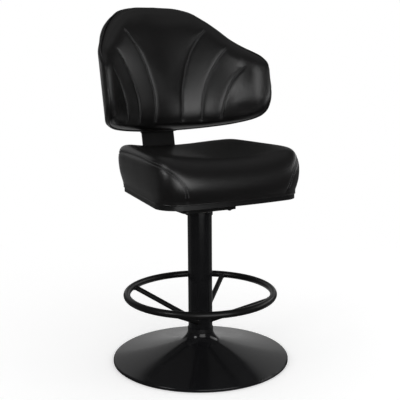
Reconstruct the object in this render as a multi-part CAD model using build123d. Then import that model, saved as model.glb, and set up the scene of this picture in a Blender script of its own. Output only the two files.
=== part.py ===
from build123d import *
import os
from math import asin, atan2, cos, degrees, radians, sin, sqrt

# Gaming stool. Millimetres. It faces -Y, +Z is up, and the origin is on the floor under the column.

# Trumpet base
base_diameter = 510.0
base_rim_height = 9.0
base_rim_gap = 2.0
base_rim_round = 3.0
base_rim_slope = radians(8.5)
base_shoulder_diameter = 128.0
base_shoulder_height = 54.0
base_neck_height = 83.0
base_wall = 1.8
cover_clearance = 0.3
neck_clearance = 0.3
floor_pad_thickness = 3.0
floor_pad_clearance = 0.5
weight_thickness = 9.0
weight_boss_diameter = 104.0
weight_web = 12.0
bolt_recess_depth = 15.0
bolt_recess_diameter = 46.0
socket_depth = 14.0

# Column and its fixing
column_diameter = 70.0
column_wall = 3.0
column_top = 428.0
column_play = 0.1
plug_length = 25.0
base_bolt_diameter = 16.0
base_bolt_flats = 24.0
base_bolt_head = 10.0
base_washer_diameter = 40.0
base_washer_thickness = 3.0
bolt_end_cover = 3.0
turn_pin_diameter = 8.0
turn_pin_circle = 46.0
turn_pin_reach = 8.0
collar_thickness = 1.9
collar_height = 12.0

# Foot ring
ring_diameter = 424.0
ring_height = 197.0
ring_bar = 20.0
spoke_bar = 15.0
spoke_height = 120.0
spoke_count = 4
spoke_clocking = -3.0
weld_gap = 0.1

# Swivel
spindle_diameter = 30.0
spindle_play = 0.03
bush_wall = 4.0
bush_length = 22.0
bush_play = 0.02
housing_length = 62.0
housing_flange_diameter = 75.0
housing_flange_thickness = 10.0
thrust_washer_thickness = 3.0
thrust_washer_diameter = 56.0
thrust_recess_depth = 2.0
thrust_clearance = 0.3
swivel_gap = 0.05
end_play = 0.3
retainer_diameter = 48.0
retainer_thickness = 3.0
spindle_thread_diameter = 20.0
spindle_nut_flats = 30.0
spindle_nut_height = 14.0
spindle_tail = 4.0

# Swivel plate and its bolts
plate_width = 167.0
plate_depth = 139.0
plate_thickness = 6.0
plate_corner = 12.0
plate_bolt_spacing_x = 134.0
plate_bolt_spacing_y = 108.0
hub_diameter = 50.0
hub_length = 8.0
bolt_diameter = 8.0
bolt_hole_play = 0.3
bolt_head_diameter = 15.0
bolt_head_height = 4.4
bolt_washer_diameter = 20.0
bolt_washer_thickness = 1.6
tee_nut_diameter = 22.0
tee_nut_thickness = 1.5
tee_nut_wall = 1.2
tee_nut_sink = 0.4

# Seat underside
pan_front_width = 432.0
pan_rear_width = 314.0
pan_front = 218.0
pan_rear = 200.0
pan_bow = 19.0
pan_corner = 58.0
pan_wall = 3.0
board_thickness = 9.0
board_clearance = 0.3
block_height = 33.0
block_inset = 4.0
pan_screw_diameter = 5.0
pan_screw_head = 10.0
pan_screw_head_height = 3.0
pan_screw_bite = 7.0
pan_screw_spacing_x = 190.0
pan_screw_spacing_y = 280.0
screw_hole_play = 0.1

# Seat cushion
cushion_gap = 0.3
cushion_front_overhang = 14.0
cushion_rear_overhang = 17.0
cushion_height = 108.0
cushion_rear_rise = 6.0
cushion_bolster = 10.0
cushion_dish = 5.0
cushion_side_round = 26.0
cushion_side_draw = 5.0
cushion_widest_height = 76.0
cushion_end_lift = 26.0
cushion_lift_power = 20.0
cushion_front_plan_power = 4.6
cushion_rear_plan_power = 7.0
cushion_front_power = 6.5
cushion_side_power = 8.0

# Back strap
strap_width = 107.0
strap_thickness = 8.0
strap_bend = 42.0
strap_setback = 35.5
strap_block_gap = 4.0
strap_top = 92.0
strap_bolt_spacing_x = 60.0
strap_bolt_spacing_y = 50.0
strap_bolt_edge = 16.0

# Backrest. Its flat pattern is bent round a reclined cylinder, and back_rise is measured up the strap.
back_recline = radians(12.4)
back_radius = 258.0
back_rise = 220.0
back_depth = 70.0
back_edge = 26.0
back_crown = 10.0
back_rear_draw = 6.0
back_tip_start = 280.0
back_tip_share = 0.5
back_board_inset = 16.0
back_board_thickness = 7.5
back_board_end = 290.0
back_gap = 0.3
packer_thickness = 25.2
packer_height = 112.0
rear_pad_depth = 52.0
rear_pad_edge_depth = 3.0
rear_pad_fade = 205.0
rear_pad_end = 301.0
rear_pad_top_inset = 6.0
rear_pad_low_inset = 10.0
rear_pad_round = 34.0
rear_pad_fullness = 0.75
rear_pad_slope = 0.3
pocket_clearance = 1.0
back_bolt_spacing_x = 64.0
back_bolt_low = -14.0
back_bolt_high = 58.0
channel_diameter = 13.0
channel_depth = 5.0

# Half pattern of the backrest: distance round the curve from the middle, lower edge and upper edge.
back_pattern = [
    (0.0, -54.0, 321.0),
    (45.0, -54.0, 316.0),
    (90.0, -54.0, 300.0),
    (131.0, -54.0, 266.0),
    (164.0, -54.0, 232.0),
    (195.0, -53.0, 197.0),
    (230.0, -50.0, 166.0),
    (261.0, -44.0, 146.0),
    (285.0, -34.0, 129.0),
    (301.0, -21.0, 114.0),
    (312.0, -6.0, 100.0),
    (318.0, 10.0, 86.0),
]

# Sewn channels of the half backrest: distance round the curve and height at lower end, middle and upper end.
channel_routes = [
    ((42.0, -28.0), (57.0, 100.0), (140.0, 238.0)),
    ((98.0, -28.0), (124.0, 70.0), (194.0, 168.0)),
    ((157.0, -18.0), (190.0, 52.0), (247.0, 106.0)),
]

# Heights and radii that follow
base_radius = base_diameter / 2
column_radius = column_diameter / 2
column_bore = column_radius - column_wall
weight_bottom = floor_pad_thickness
weight_top = weight_bottom + weight_thickness
recess_top = weight_bottom + bolt_recess_depth
column_bottom = recess_top + weight_web
boss_top = column_bottom + socket_depth
housing_bottom = column_top - housing_length
flange_top = column_top + housing_flange_thickness
thrust_floor = flange_top - thrust_recess_depth
thrust_top = thrust_floor + thrust_washer_thickness
hub_bottom = thrust_top + swivel_gap
plate_bottom = hub_bottom + hub_length
plate_top = plate_bottom + plate_thickness
spindle_radius = spindle_diameter / 2
bush_radius = spindle_radius + spindle_play + bush_wall
pan_bottom = plate_top + block_height
board_bottom = pan_bottom + pan_wall
board_top = board_bottom + board_thickness
cushion_bottom = board_top + cushion_gap
bolt_radius = bolt_diameter / 2
bolt_hole = bolt_radius + bolt_hole_play
tee_nut_sleeve = bolt_radius + bolt_hole_play / 2 + tee_nut_wall
tee_nut_hole = tee_nut_sleeve + bolt_hole_play / 2
plate_bolt_places = [
    (x * plate_bolt_spacing_x / 2, y * plate_bolt_spacing_y / 2) for x in (-1, 1) for y in (-1, 1)
]
pan_screw_places = [
    (x * pan_screw_spacing_x / 2, y * pan_screw_spacing_y / 2) for x in (-1, 1) for y in (-1, 1)
]
block_rear = plate_depth / 2 - block_inset
strap_front = block_rear + strap_block_gap
strap_bolt_places = [
    (x * strap_bolt_spacing_x / 2, strap_front + strap_bolt_edge + row * strap_bolt_spacing_y)
    for x in (-1, 1)
    for row in (0, 1)
]
board_bolt_places = plate_bolt_places + strap_bolt_places
strap_bottom = pan_bottom - strap_thickness


# Simple shapes

def disc(radius, low, high, x=0.0, y=0.0):
    standing = (Align.CENTER, Align.CENTER, Align.MIN)
    return Pos(x, y, low) * Cylinder(radius, high - low, align=standing)


def ring(outer, inner, low, high, x=0.0, y=0.0):
    return disc(outer, low, high, x, y) - disc(inner, low, high, x, y)


def hexagon(flats, low, high):
    across = RegularPolygon(flats / 2, 6, major_radius=False)
    return extrude(Pos(0, 0, low) * across, high - low)


def dome(radius, height, top):
    ball = (radius**2 + height**2) / (2 * height)
    return Pos(0, 0, top - height + ball) * Sphere(ball) & disc(radius, top - height, top)


def domed_bolt(head_top, end, radius, head_radius, head_height):
    return dome(head_radius, head_height, head_top) + disc(radius, head_top, end)


def set_out(piece, places):
    return Compound([Pos(x, y, 0) * piece for x, y in places])


nodes = {}


# Trumpet base cover: a flare of two tangent arcs from the rim to the neck

neck_radius = column_radius + neck_clearance + base_wall
shoulder_radius = base_shoulder_diameter / 2
flare_run = base_radius - shoulder_radius
flare_rise = base_shoulder_height - base_rim_height
flare_chord = atan2(flare_rise, flare_run)
flare_radius = sqrt(flare_run**2 + flare_rise**2) / (2 * sin(flare_chord - base_rim_slope))
flare_center_r = base_radius + flare_radius * sin(base_rim_slope)
flare_center_z = base_rim_height + flare_radius * cos(base_rim_slope)
shoulder_slope = 2 * flare_chord - base_rim_slope
neck_chord = atan2(base_neck_height - base_shoulder_height, shoulder_radius - neck_radius)
neck_slope = 2 * neck_chord - shoulder_slope


def flare_height(radius, inset):
    return flare_center_z - sqrt((flare_radius + inset) ** 2 - (flare_center_r - radius) ** 2)


def flare_reach(height, inset):
    return flare_center_r - sqrt((flare_radius + inset) ** 2 - (flare_center_z - height) ** 2)


def under_flare(radius, height, slope, inset):
    return (radius - inset * sin(slope), 0, height - inset * cos(slope))


def flare_line(start_radius, inset):
    start = (start_radius, 0, flare_height(start_radius, inset))
    slope = asin((flare_center_r - start_radius) / (flare_radius + inset))
    shoulder = under_flare(shoulder_radius, base_shoulder_height, shoulder_slope, inset)
    neck = under_flare(neck_radius, base_neck_height, neck_slope, inset)
    lower = TangentArc(start, shoulder, tangent=(-cos(slope), 0, sin(slope)))
    upper = TangentArc(shoulder, neck, tangent=(-cos(shoulder_slope), 0, sin(shoulder_slope)))
    return start, [lower, upper], neck


outer_start, outer_flare, outer_neck = flare_line(base_radius - base_rim_round, 0)
inner_start, inner_flare, inner_neck = flare_line(base_radius - base_wall, base_wall)
lip_outer = (base_radius, 0, base_rim_gap)
lip_inner = (base_radius - base_wall, 0, base_rim_gap)
lip_top = (base_radius, 0, base_rim_height - base_rim_round)
cover_profile = make_face(
    [
        Line(lip_inner, lip_outer),
        Line(lip_outer, lip_top),
        TangentArc(lip_top, outer_start, tangent=(0, 0, 1)),
        *outer_flare,
        Line(outer_neck, inner_neck),
        *inner_flare,
        Line(inner_start, lip_inner),
    ]
)
nodes["base_cover"] = revolve(cover_profile, Axis.Z, 360)


# Floor pad, cast weight and the bolt that draws the column down on it

nodes["floor_pad"] = disc(base_radius - base_wall - floor_pad_clearance, 0, floor_pad_thickness)

weight_radius = flare_reach(weight_top, base_wall + cover_clearance)
pin_places = [(side * turn_pin_circle / 2, 0) for side in (-1, 1)]
pin_bottom = column_bottom - turn_pin_reach
pin_top = column_bottom + turn_pin_reach
pin_hole = turn_pin_diameter / 2 + column_play
pin_holes = set_out(disc(pin_hole, pin_bottom, pin_top), pin_places)
bolt_bore = disc(base_bolt_diameter / 2 + column_play, weight_bottom, column_bottom + plug_length)
weight = disc(weight_radius, weight_bottom, weight_top)
weight += disc(weight_boss_diameter / 2, weight_top, boss_top)
weight -= disc(column_radius + column_play, column_bottom, boss_top)
weight -= disc(bolt_recess_diameter / 2, weight_bottom, recess_top)
nodes["base_weight"] = weight - bolt_bore - pin_holes

plug = disc(column_bore - column_play, column_bottom, column_bottom + plug_length)
nodes["column_plug"] = plug - bolt_bore - pin_holes
nodes["turn_pins"] = set_out(disc(turn_pin_diameter / 2, pin_bottom, pin_top), pin_places)

washer_bottom = recess_top - base_washer_thickness
bolt_end = column_bottom + plug_length - bolt_end_cover
base_bolt = hexagon(base_bolt_flats, washer_bottom - base_bolt_head, washer_bottom)
nodes["base_bolt"] = base_bolt + disc(base_bolt_diameter / 2, washer_bottom, bolt_end)
nodes["base_washer"] = ring(
    base_washer_diameter / 2, base_bolt_diameter / 2 + column_play, washer_bottom, recess_top
)


# Column and neck collar

nodes["column_tube"] = ring(column_radius, column_bore, column_bottom, column_top)
collar_bore = column_radius + column_play
nodes["neck_collar"] = ring(
    collar_bore + collar_thickness, collar_bore, base_neck_height, base_neck_height + collar_height
)


# Foot ring and the spokes welded to it and to the column

ring_radius = ring_diameter / 2
spoke_run = ring_radius - column_radius
spoke_tilt = atan2(ring_height - spoke_height, spoke_run)
spoke_length = sqrt(spoke_run**2 + (ring_height - spoke_height) ** 2)
nodes["foot_ring"] = Pos(0, 0, ring_height) * Torus(ring_radius, ring_bar / 2)
spoke_reach = Pos(0, 0, ring_height) * Torus(ring_radius, ring_bar / 2 + weld_gap)
spoke_root = disc(column_radius + weld_gap, 0, column_top)
spoke_foot = Pos(column_radius, 0, spoke_height) * Rot(0, 90 - degrees(spoke_tilt), 0)
spoke_overrun = spoke_bar
long_bar = disc(spoke_bar / 2, -spoke_overrun, spoke_length)
spoke = (spoke_foot * long_bar) - spoke_reach - spoke_root
spoke = spoke.solids().sort_by(SortBy.VOLUME)[-1]
spoke_names = ["rear_left", "rear_right", "front_right", "front_left"]
for index, name in enumerate(spoke_names[:spoke_count]):
    turn = 360 / spoke_count * (index + 0.5) + spoke_clocking
    nodes[f"spoke_{name}"] = Rot(0, 0, turn) * spoke


# Swivel: housing in the column, two bushes and a thrust washer stay, the spindle turns

housing = disc(column_bore - column_play, housing_bottom, column_top)
housing += disc(housing_flange_diameter / 2, column_top, flange_top)
housing -= disc(bush_radius + bush_play, housing_bottom, flange_top)
housing -= disc(thrust_washer_diameter / 2 + thrust_clearance, thrust_floor, flange_top)
nodes["bearing_housing"] = housing
bush_bore = spindle_radius + spindle_play
nodes["upper_bush"] = ring(bush_radius, bush_bore, thrust_floor - bush_length, thrust_floor)
nodes["lower_bush"] = ring(bush_radius, bush_bore, housing_bottom, housing_bottom + bush_length)
nodes["thrust_washer"] = ring(
    thrust_washer_diameter / 2, spindle_radius + thrust_clearance, thrust_floor, thrust_top
)

retainer_top = housing_bottom - end_play
retainer_bottom = retainer_top - retainer_thickness
nut_bottom = retainer_bottom - spindle_nut_height
thread_radius = spindle_thread_diameter / 2
spindle = disc(spindle_radius, retainer_top, plate_top)
nodes["swivel_spindle"] = spindle + disc(thread_radius, nut_bottom - spindle_tail, retainer_top)
nodes["retaining_washer"] = ring(
    retainer_diameter / 2, thread_radius + column_play, retainer_bottom, retainer_top
)
nodes["spindle_nut"] = hexagon(spindle_nut_flats, nut_bottom, retainer_bottom) - disc(
    thread_radius + spindle_play, nut_bottom, retainer_bottom
)


# Swivel plate with its hub, and the four bolts up into the seat

plate_outline = RectangleRounded(plate_width, plate_depth, plate_corner)
plate = extrude(Pos(0, 0, plate_bottom) * plate_outline, plate_thickness)
plate += disc(hub_diameter / 2, hub_bottom, plate_bottom)
plate -= disc(spindle_radius + spindle_play, hub_bottom, plate_top)
plate_holes = set_out(disc(bolt_hole, plate_bottom, board_top), plate_bolt_places)
nodes["swivel_plate"] = plate - plate_holes

washer_low = plate_bottom - bolt_washer_thickness
tee_nut_top = board_top - tee_nut_sink
tee_nut_low = tee_nut_top - tee_nut_thickness
plate_bolt = domed_bolt(
    washer_low, tee_nut_low, bolt_radius, bolt_head_diameter / 2, bolt_head_height
)
nodes["plate_bolts"] = set_out(plate_bolt, plate_bolt_places)
plate_washer = ring(bolt_washer_diameter / 2, bolt_hole, washer_low, plate_bottom)
nodes["plate_washers"] = set_out(plate_washer, plate_bolt_places)
tee_nut_bore = bolt_radius + bolt_hole_play / 2
tee_nut = disc(tee_nut_diameter / 2, tee_nut_low, tee_nut_top)
tee_nut += disc(tee_nut_sleeve, board_bottom, tee_nut_low)
tee_nut -= disc(tee_nut_bore, board_bottom, tee_nut_top)
nodes["seat_tee_nuts"] = set_out(tee_nut, board_bolt_places)


# Seat pan, packing block and plywood board

def seat_outline(inset, corner, height):
    front_x = pan_front_width / 2 - inset
    rear_x = pan_rear_width / 2 - inset
    front_y = -(pan_front - pan_bow - inset)
    rear_y = pan_rear - inset
    front_edge = ThreePointArc((-front_x, front_y), (0, -(pan_front - inset)), (front_x, front_y))
    right_edge = Line((front_x, front_y), (rear_x, rear_y))
    rear_edge = Line((rear_x, rear_y), (-rear_x, rear_y))
    left_edge = Line((-rear_x, rear_y), (-front_x, front_y))
    outline = make_face([front_edge, right_edge, rear_edge, left_edge])
    return Pos(0, 0, height) * fillet(outline.vertices(), corner)


def tray(inset, low):
    return extrude(seat_outline(inset, pan_corner - inset, low), board_top - low)


strap_bolt_holes = set_out(disc(bolt_hole, strap_bottom, board_top), strap_bolt_places)
pan_screw_hole = pan_screw_diameter / 2 + screw_hole_play
pan_screw_end = board_bottom + pan_screw_bite
pan_screw_holes = set_out(disc(pan_screw_hole, pan_bottom, pan_screw_end), pan_screw_places)
pan = tray(0, pan_bottom) - tray(pan_wall, board_bottom)
nodes["seat_pan"] = pan - plate_holes - strap_bolt_holes - pan_screw_holes

block_outline = Rectangle(plate_width - 2 * block_inset, plate_depth - 2 * block_inset)
block = extrude(Pos(0, 0, plate_top) * block_outline, block_height)
nodes["packing_block"] = block - plate_holes

board = tray(pan_wall + board_clearance, board_bottom) - pan_screw_holes
board -= set_out(disc(tee_nut_hole, board_bottom, board_top), board_bolt_places)
tee_nut_seat = tee_nut_diameter / 2 + bolt_hole_play
board -= set_out(disc(tee_nut_seat, tee_nut_low, board_top), board_bolt_places)
nodes["seat_board"] = board

pan_screw = domed_bolt(
    pan_bottom, pan_screw_end, pan_screw_diameter / 2, pan_screw_head / 2, pan_screw_head_height
)
nodes["pan_screws"] = set_out(pan_screw, pan_screw_places)


# Seat cushion: sections across the seat, from front to rear, with drawn-in sides and a dished top

cushion_front = -(pan_front + cushion_front_overhang)
cushion_rear = pan_rear + cushion_rear_overhang
cushion_middle = (cushion_front + cushion_rear) / 2
cushion_half_depth = (cushion_rear - cushion_front) / 2
cushion_places = [-0.995, -0.97, -0.9, -0.74, -0.4, 0.0, 0.4, 0.74, 0.9, 0.97, 0.995]


def rounded(place, power):
    return (1 - abs(place) ** power) ** (1 / power)


def from_front(place, front_value, rear_value):
    return (front_value * (1 - place) + rear_value * (1 + place)) / 2


def cushion_section(place):
    overhang = from_front(place, cushion_front_overhang, cushion_rear_overhang)
    board_half = from_front(place, pan_front_width, pan_rear_width) / 2
    plan_power = cushion_front_plan_power if place < 0 else cushion_rear_plan_power
    crest_power = cushion_front_power if place < 0 else cushion_side_power
    half = (board_half + overhang) * rounded(place, plan_power)
    side_share = rounded(place, cushion_side_power)
    low = cushion_bottom + cushion_end_lift * abs(place) ** cushion_lift_power
    height = cushion_height + from_front(place, 0, cushion_rear_rise)
    middle = cushion_bottom + (height - cushion_dish) * rounded(place, crest_power)
    bolster = cushion_bottom + (height + cushion_bolster) * side_share
    widest = low + cushion_widest_height * (bolster - low) / cushion_height
    side_round = cushion_side_round * side_share
    turn_in = side_round * (1 - sqrt(0.5))
    foot_x = half - overhang
    shoulder_x = half - cushion_side_draw
    bolster_x = shoulder_x - side_round
    shoulder = (shoulder_x, bolster - side_round)
    turn = (shoulder_x - turn_in, bolster - turn_in)
    right_side = ThreePointArc((foot_x, low), (half, widest), shoulder)
    right_round = ThreePointArc(shoulder, turn, (bolster_x, bolster))
    dish = ThreePointArc((bolster_x, bolster), (0, middle), (-bolster_x, bolster))
    left_round = mirror(right_round, about=Plane.YZ)
    left_side = mirror(right_side, about=Plane.YZ)
    foot = Line((-foot_x, low), (foot_x, low))
    face = make_face([foot, right_side, right_round, dish, left_round, left_side])
    across = Plane((0, cushion_middle + place * cushion_half_depth, 0), (1, 0, 0), (0, -1, 0))
    return across * face


seat_cushion = loft([cushion_section(place) for place in cushion_places])
under_cushion = Box(2 * pan_front_width, 4 * cushion_half_depth, cushion_height)
under_cushion = Pos(0, cushion_middle, cushion_bottom - cushion_height / 2) * under_cushion
nodes["seat_cushion"] = seat_cushion - under_cushion


# Reclined frame of the backrest: up the strap, out through the rear, and the axis that the back is bent round

back_up = Vector(0, sin(back_recline), cos(back_recline))
back_out = Vector(0, cos(back_recline), -sin(back_recline))
board_near = back_depth + back_gap
board_far = board_near + back_board_thickness
strap_face = board_far + back_gap + packer_thickness
strap_back = strap_face + strap_thickness
strap_middle = pan_bottom - strap_thickness / 2
strap_turn = Vector(0, pan_rear + strap_setback, strap_middle)
back_origin = strap_turn + back_up * back_rise - back_out * (strap_face + strap_thickness / 2)
back_axis = back_origin - back_out * back_radius


def back_point(x, height, out):
    return back_origin + Vector(x, 0, 0) + back_up * height + back_out * out


def back_box(half_width, low, high, near, far):
    face = Plane(back_point(0, (low + high) / 2, near), (1, 0, 0), back_out)
    return extrude(face * Rectangle(2 * half_width, high - low), far - near, dir=back_out)


# Back strap: a flat bar under the seat, bent up behind it and leaning back with the backrest

strap_start = Vector(0, strap_front, strap_middle)
strap_end = strap_turn + back_up * (back_rise + strap_top)
strap_path = FilletPolyline(strap_start, strap_turn, strap_end, radius=strap_bend)
strap_section = Plane(strap_start, (1, 0, 0), (0, 1, 0)) * Rectangle(strap_width, strap_thickness)
strap = sweep(strap_section, path=strap_path)

strap_bolt_seat = strap_bottom - bolt_washer_thickness
strap_bolt = domed_bolt(
    strap_bolt_seat, tee_nut_low, bolt_radius, bolt_head_diameter / 2, bolt_head_height
)
nodes["strap_bolts"] = set_out(strap_bolt, strap_bolt_places)
strap_washer = ring(bolt_washer_diameter / 2, bolt_hole, strap_bolt_seat, strap_bottom)
nodes["strap_washers"] = set_out(strap_washer, strap_bolt_places)

back_bolt_places = [
    (x * back_bolt_spacing_x / 2, height) for x in (-1, 1) for height in (back_bolt_low, back_bolt_high)
]


def each_back_bolt(radius, near, far):
    rod = disc(radius, 0, far - near)
    return Compound(
        [Plane(back_point(x, height, near), (1, 0, 0), back_out) * rod for x, height in back_bolt_places]
    )


nodes["back_strap"] = strap - strap_bolt_holes - each_back_bolt(bolt_hole, strap_face, strap_back)


# Backrest layers, each a loft of sections that stand like book pages round the axis

def layer_depth(run):
    swing = run / back_radius
    reach = sqrt(back_radius**2 - (back_depth * sin(swing)) ** 2)
    return back_depth * cos(swing) + reach - back_radius


def outward(run):
    swing = run / back_radius
    return Vector(sin(swing), 0, 0) + back_out * cos(swing)


def page(run):
    return Plane(back_axis, outward(run), outward(run).cross(back_up))


def mirrored(half):
    return [(-run, low, high) for run, low, high in reversed(half[1:])] + half


def pattern_at(run):
    for (run0, low0, high0), (run1, low1, high1) in zip(back_pattern, back_pattern[1:]):
        if run <= run1:
            share = (run - run0) / (run1 - run0)
            return low0 + share * (low1 - low0), high0 + share * (high1 - high0)
    return back_pattern[-1][1:]


def pattern_until(end):
    return [row for row in back_pattern if row[0] < end] + [(end, *pattern_at(end))]


def cushion_page(run, low, high):
    middle = back_radius + layer_depth(run) / 2
    tip_run = max(0, abs(run) - back_tip_start) / (back_pattern[-1][0] - back_tip_start)
    depth = layer_depth(run) * sqrt(1 - (1 - back_tip_share**2) * tip_run**2)
    front = middle - depth / 2
    back = middle + depth / 2
    edge = front + back_crown * depth / back_depth
    rear_draw = min(back_rear_draw, depth / 4)
    edge_drop = min(back_edge, depth / 2)
    rear_high = high - rear_draw
    rear_low = low + rear_draw
    face_high = high - edge_drop
    face_low = low + edge_drop
    top_arc = ThreePointArc((back, rear_high), (middle, high), (edge, face_high))
    front_arc = ThreePointArc((edge, face_high), (front, (low + high) / 2), (edge, face_low))
    low_arc = ThreePointArc((edge, face_low), (middle, low), (back, rear_low))
    rear_line = Line((back, rear_low), (back, rear_high))
    return page(run) * make_face([top_arc, front_arc, low_arc, rear_line])


def block_page(run, low, high, front, back):
    corners = [(front, low), (back, low), (back, high), (front, high)]
    return page(run) * make_face(Polyline(*corners, close=True))


def board_front(run):
    return back_radius + layer_depth(run) + back_gap


def board_rear(run):
    return board_front(run) + back_board_thickness


def rear_pad_page(run, low, high):
    fade = cos(radians(90 * min(1, abs(run) / rear_pad_fade)))
    depth = rear_pad_edge_depth + (rear_pad_depth - rear_pad_edge_depth) * fade
    top = high - rear_pad_top_inset
    bottom = low + rear_pad_low_inset
    front = board_rear(run) + back_gap
    back = front + depth
    bend = front + depth * rear_pad_fullness
    drop = rear_pad_round * rear_pad_slope
    round_top = ThreePointArc((front, top), (bend, top - drop), (back, top - rear_pad_round))
    rear_line = Line((back, top - rear_pad_round), (back, bottom + rear_pad_round))
    round_low = ThreePointArc((back, bottom + rear_pad_round), (bend, bottom + drop), (front, bottom))
    return page(run) * make_face([round_top, rear_line, round_low, Line((front, bottom), (front, top))])


# Sewn channels: round-bottomed grooves along arcs on the front of the cushion

def channel_point(run, height):
    low, high = pattern_at(run)
    edge_drop = min(back_edge, layer_depth(run) / 2)
    share = (height - (low + high) / 2) / ((high - low) / 2 - edge_drop)
    front = back_radius + back_crown * layer_depth(run) / back_depth * share**2
    reach = front + channel_depth - channel_diameter / 2
    return back_axis + outward(run) * reach + back_up * height


def channel(route):
    start, middle, end = [channel_point(run, height) for run, height in route]
    path = ThreePointArc(start, middle, end)
    round_end = Sphere(channel_diameter / 2)
    groove = sweep(Plane(start, z_dir=path % 0) * Circle(channel_diameter / 2), path=path)
    return groove + Pos(*start) * round_end + Pos(*end) * round_end


backrest_cushion = loft([cushion_page(*row) for row in mirrored(back_pattern)])
for route in channel_routes:
    groove = channel(route)
    backrest_cushion -= groove
    backrest_cushion -= mirror(groove, about=Plane.YZ)
nodes["backrest_cushion"] = backrest_cushion


# Bent plywood board, the nuts let into it, and the packer between it and the flat strap

back_board = loft(
    [
        block_page(run, low + back_board_inset, high - back_board_inset, board_front(run), board_rear(run))
        for run, low, high in mirrored(pattern_until(back_board_end))
    ]
)
back_nut_near = board_near + tee_nut_sink
back_nut_far = back_nut_near + tee_nut_thickness
nut_sleeve_far = (back_nut_far + board_far) / 2
back_board -= each_back_bolt(tee_nut_hole, back_nut_near, strap_face)
back_board -= each_back_bolt(tee_nut_seat, 0, back_nut_far)
nodes["backrest_board"] = back_board

back_nut = each_back_bolt(tee_nut_diameter / 2, back_nut_near, back_nut_far)
back_nut += each_back_bolt(tee_nut_sleeve, back_nut_far, nut_sleeve_far)
back_nut -= each_back_bolt(tee_nut_bore, back_nut_near, nut_sleeve_far)
nodes["backrest_tee_nuts"] = back_nut

packer_low = (back_bolt_low + back_bolt_high - packer_height) / 2
packer_high = packer_low + packer_height
packer_wrap = loft(
    [
        block_page(run, packer_low, packer_high, board_rear(run) + back_gap, back_radius + strap_back)
        for run in (-strap_width, -strap_width / 2, 0, strap_width / 2, strap_width)
    ]
)
packer_space = back_box(strap_width / 2, packer_low, packer_high, 0, strap_face)
nodes["backrest_packer"] = (packer_wrap & packer_space) - each_back_bolt(bolt_hole, 0, strap_face)

back_bolts = each_back_bolt(bolt_radius, back_nut_far, strap_back)
bolt_head = dome(bolt_head_diameter / 2, bolt_head_height, 0)
for x, height in back_bolt_places:
    back_bolts += Plane(back_point(x, height, strap_back), (1, 0, 0), -back_out) * bolt_head
nodes["backrest_bolts"] = back_bolts


# Rear pad with a pocket for the strap and its bolt heads

rear_pad = loft([rear_pad_page(*row) for row in mirrored(pattern_until(rear_pad_end))])
pocket_low = back_pattern[0][1] - strap_width
pocket_high = strap_top + pocket_clearance
pocket_far = strap_back + bolt_head_height + pocket_clearance
rear_pocket = back_box(strap_width / 2 + pocket_clearance, pocket_low, pocket_high, 0, pocket_far)
nodes["backrest_rear_pad"] = rear_pad - rear_pocket


os.makedirs("parts", exist_ok=True)
for name, solid in nodes.items():
    export_step(solid, f"parts/{name}.step")
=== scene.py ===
import math
import bmesh
import bpy
import numpy as np
from mathutils import Matrix, Vector
from mathutils.geometry import convex_hull_2d


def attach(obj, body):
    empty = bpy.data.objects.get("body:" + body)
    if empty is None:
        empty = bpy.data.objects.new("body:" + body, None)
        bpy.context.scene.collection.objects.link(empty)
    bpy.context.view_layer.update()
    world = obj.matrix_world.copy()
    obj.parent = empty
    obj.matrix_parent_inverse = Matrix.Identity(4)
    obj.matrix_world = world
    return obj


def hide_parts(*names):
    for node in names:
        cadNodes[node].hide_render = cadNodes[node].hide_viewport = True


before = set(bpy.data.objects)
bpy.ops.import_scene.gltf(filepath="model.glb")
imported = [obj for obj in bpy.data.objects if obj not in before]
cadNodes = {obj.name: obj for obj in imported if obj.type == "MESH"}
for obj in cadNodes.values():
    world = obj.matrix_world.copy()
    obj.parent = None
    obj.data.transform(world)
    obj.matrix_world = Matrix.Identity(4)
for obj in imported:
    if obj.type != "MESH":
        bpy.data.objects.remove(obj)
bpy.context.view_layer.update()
scene = bpy.context.scene
mm = 0.001
print("frame loaded,", len(cadNodes), "nodes")


# Small helpers for numbers and meshes

def smoothStep(low, high, value):
    share = np.clip((value - low) / (high - low), 0, 1)
    return share * share * (3 - 2 * share)


def smoothThrough(xs, ys, at):  # monotone cubic through the given points
    xs, ys, at = (np.asarray(v, float) for v in (xs, ys, at))
    steps = np.diff(xs)
    slopes = np.diff(ys) / steps
    before, after = slopes[:-1], slopes[1:]
    sameWay = before * after > 0
    heavy, light = 2 * steps[1:] + steps[:-1], steps[1:] + 2 * steps[:-1]
    inner = (heavy + light) / (heavy / np.where(sameWay, before, 1) + light / np.where(sameWay, after, 1))
    tangents = np.concatenate([slopes[:1], np.where(sameWay, inner, 0), slopes[-1:]])
    spot = np.clip(np.searchsorted(xs, at) - 1, 0, len(xs) - 2)
    t = (at - xs[spot]) / steps[spot]
    start = (1 + 2 * t) * (1 - t) ** 2 * ys[spot] + t * (1 - t) ** 2 * steps[spot] * tangents[spot]
    return start + t * t * (3 - 2 * t) * ys[spot + 1] + t * t * (t - 1) * steps[spot] * tangents[spot + 1]


def lengthAlong(points):  # how far along a line each of its points lies
    return np.concatenate([[0], np.cumsum(np.linalg.norm(np.diff(points, axis=0), axis=1))])


def readOff(at, along, values):  # every column of values, read off at some lengths
    return np.stack([np.interp(at, along, column) for column in values.T], axis=1)


def throughPoints(points, count):  # even points on a smooth line through a few given ones
    points = np.asarray(points, float)
    along = lengthAlong(points)
    at = np.linspace(0, along[-1], count)
    return np.stack([smoothThrough(along, column, at) for column in points.T], axis=1)


def lineDistance(places, line):  # how far points lie from a line of points, and how far along it
    best, along = np.full(len(places), 1e9), np.zeros(len(places))
    for number, (start, end) in enumerate(zip(line[:-1], line[1:])):
        way = end - start
        share = np.clip(((places - start) @ way) / (way @ way), 0, 1)
        away = np.linalg.norm(places - start - share[:, None] * way, axis=1)
        along = np.where(away < best, (number + share) / (len(line) - 1), along)
        best = np.minimum(best, away)
    return best, along


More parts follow.
